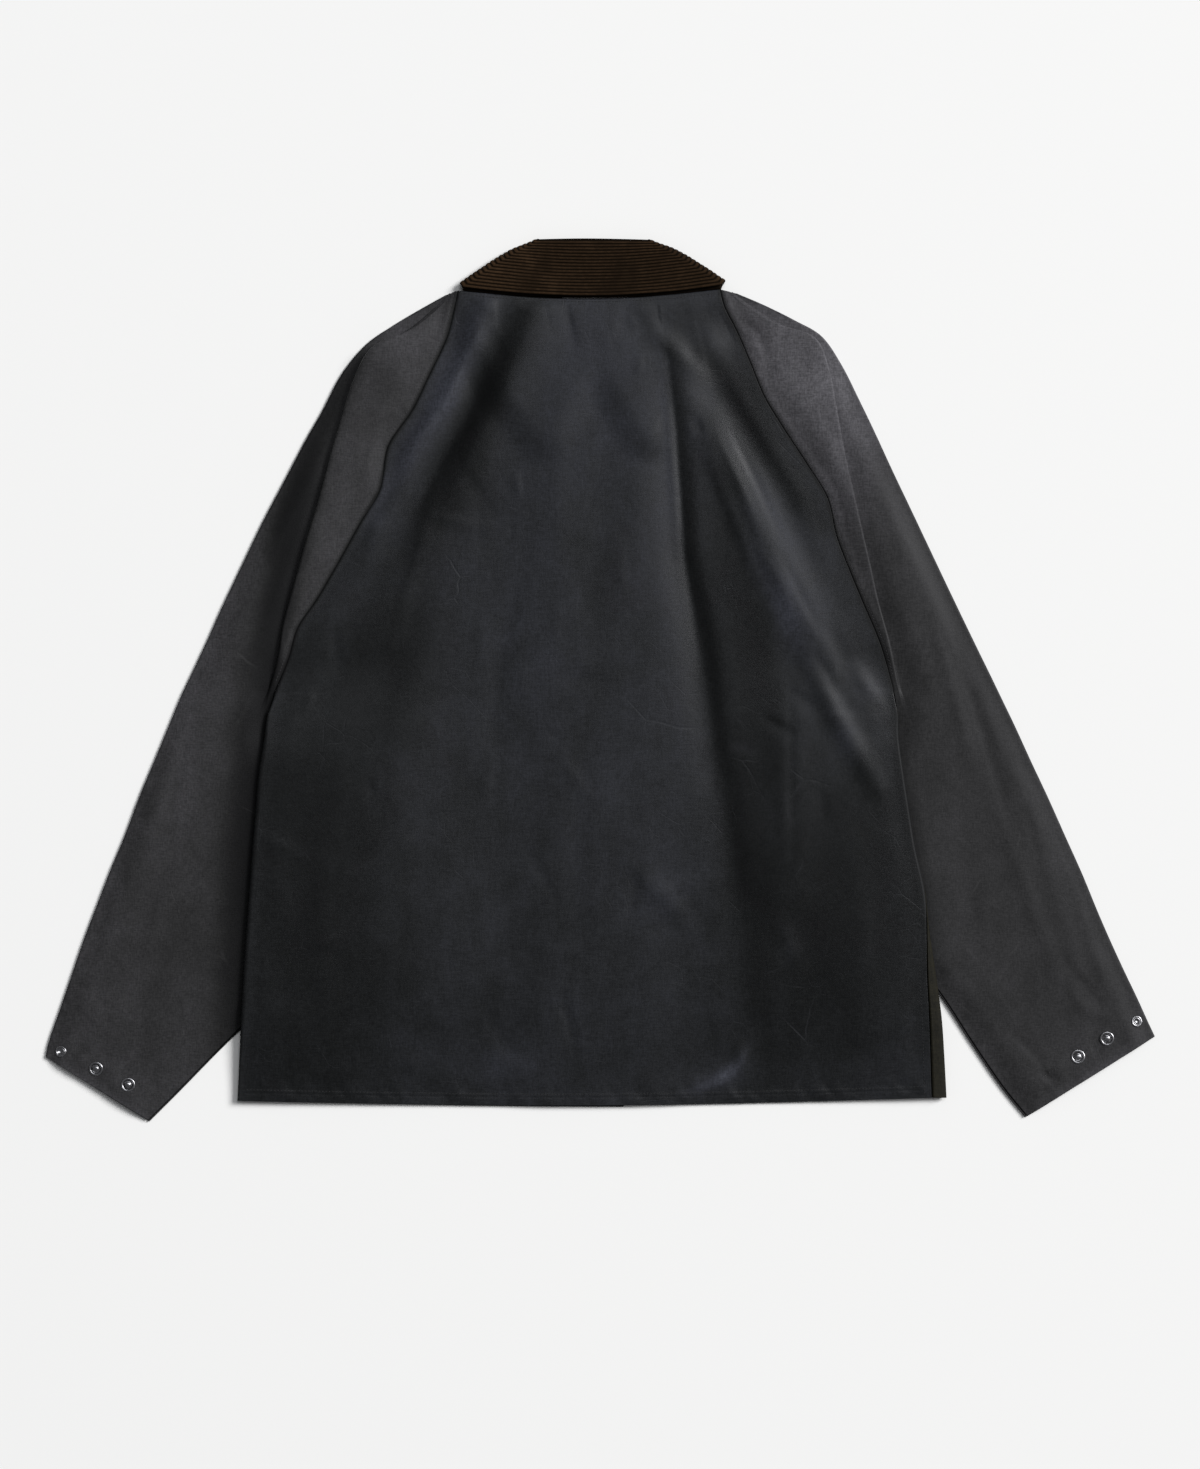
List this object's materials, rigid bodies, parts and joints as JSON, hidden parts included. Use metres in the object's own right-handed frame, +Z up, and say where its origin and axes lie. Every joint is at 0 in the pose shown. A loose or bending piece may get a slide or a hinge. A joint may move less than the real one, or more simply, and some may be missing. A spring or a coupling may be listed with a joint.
{
  "type": "waxed cotton jacket",
  "caption": "Short waxed cotton jacket with raglan sleeves and a turned-down corduroy collar, lying flat on its front with its back up.",
  "frame": {"origin": "middle of the garment's outline on the surface that it lies on", "axes": "+Z up from the surface, +Y towards the collar, +X towards the wearer's right sleeve"},
  "size_m": [0.9418, 0.7484, 0.0096],
  "materials": {
    "navy_waxed_cotton": "waxed, soft satin sheen",
    "charcoal_waxed_cotton": "waxed, matt with a soft sheen",
    "olive_waxed_cotton": "waxed, soft satin sheen",
    "brown_corduroy": "corduroy pile in wide wales",
    "gunmetal": "dark plated press studs"
  },
  "bodies": {
    "root": {"back": "navy_waxed_cotton", "front_left": "olive_waxed_cotton", "front_right": "olive_waxed_cotton", "sleeve_left": "charcoal_waxed_cotton", "sleeve_right": "charcoal_waxed_cotton", "collar": "brown_corduroy", "socket_left": "gunmetal", "stud_left_1": "gunmetal", "stud_left_2": "gunmetal", "stud_right_1": "gunmetal", "stud_right_2": "gunmetal", "socket_right": "gunmetal"}
  },
  "joints": []
}
